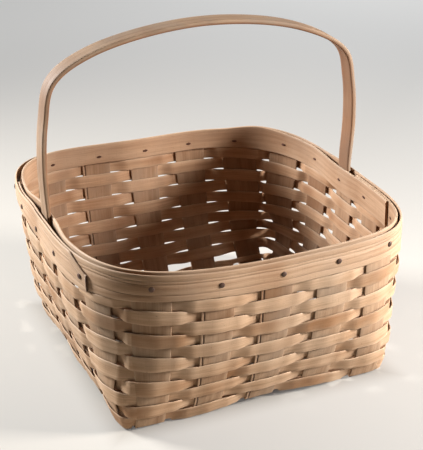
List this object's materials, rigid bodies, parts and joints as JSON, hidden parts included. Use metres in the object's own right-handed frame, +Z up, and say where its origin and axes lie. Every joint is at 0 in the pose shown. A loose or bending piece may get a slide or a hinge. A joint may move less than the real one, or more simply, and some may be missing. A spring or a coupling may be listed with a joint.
{
  "type": "cake basket",
  "caption": "Square woven splint basket with flared walls, a double hoop rim fixed by tacks and a fixed bentwood handle over the top, for carrying a cake or pie.",
  "frame": {"origin": "on the floor under the middle of the basket's overall width and depth", "axes": "+Z up, +X from the left wall to the right wall along the handle's span, +Y from the front wall to the back wall"},
  "size_m": [0.31, 0.3196, 0.3182],
  "materials": {
    "splint_wood": "bare weathered splint, dull, with open grain along the strip",
    "weaver_wood": "bare weathered splint, dull satin, with fine grain along the strip",
    "hoop_wood": "bare smoothed wood, satin, edges worn and darker",
    "handle_wood": "bare wood polished by hand, satin, greyed along its edges",
    "tack_iron": "dark dull iron with a little rust"
  },
  "bodies": {
    "root": {"front_back_splint_1": "splint_wood", "front_back_splint_2": "splint_wood", "front_back_splint_3": "splint_wood", "front_back_splint_4": "splint_wood", "front_back_splint_5": "splint_wood", "side_to_side_splint_1": "splint_wood", "side_to_side_splint_2": "splint_wood", "side_to_side_splint_3": "splint_wood", "side_to_side_splint_4": "splint_wood", "side_to_side_splint_5": "splint_wood", "weaver_row_01": "weaver_wood", "weaver_row_02": "weaver_wood", "weaver_row_03": "weaver_wood", "weaver_row_04": "weaver_wood", "weaver_row_05": "weaver_wood", "weaver_row_06": "weaver_wood", "weaver_row_07": "weaver_wood", "weaver_row_08": "weaver_wood", "weaver_row_09": "weaver_wood", "weaver_row_10": "weaver_wood", "weaver_row_11": "weaver_wood", "outer_rim_hoop": "hoop_wood", "inner_rim_hoop": "hoop_wood", "handle": "handle_wood", "tack_front_1": "tack_iron", "tack_front_2": "tack_iron", "tack_front_3": "tack_iron", "tack_front_4": "tack_iron", "tack_front_5": "tack_iron", "tack_right_1": "tack_iron", "tack_right_2": "tack_iron", "tack_right_3": "tack_iron", "tack_right_4": "tack_iron", "tack_right_5": "tack_iron", "tack_back_1": "tack_iron", "tack_back_2": "tack_iron", "tack_back_3": "tack_iron", "tack_back_4": "tack_iron", "tack_back_5": "tack_iron", "tack_left_1": "tack_iron", "tack_left_2": "tack_iron", "tack_left_3": "tack_iron", "tack_left_4": "tack_iron", "tack_left_5": "tack_iron"}
  },
  "joints": []
}
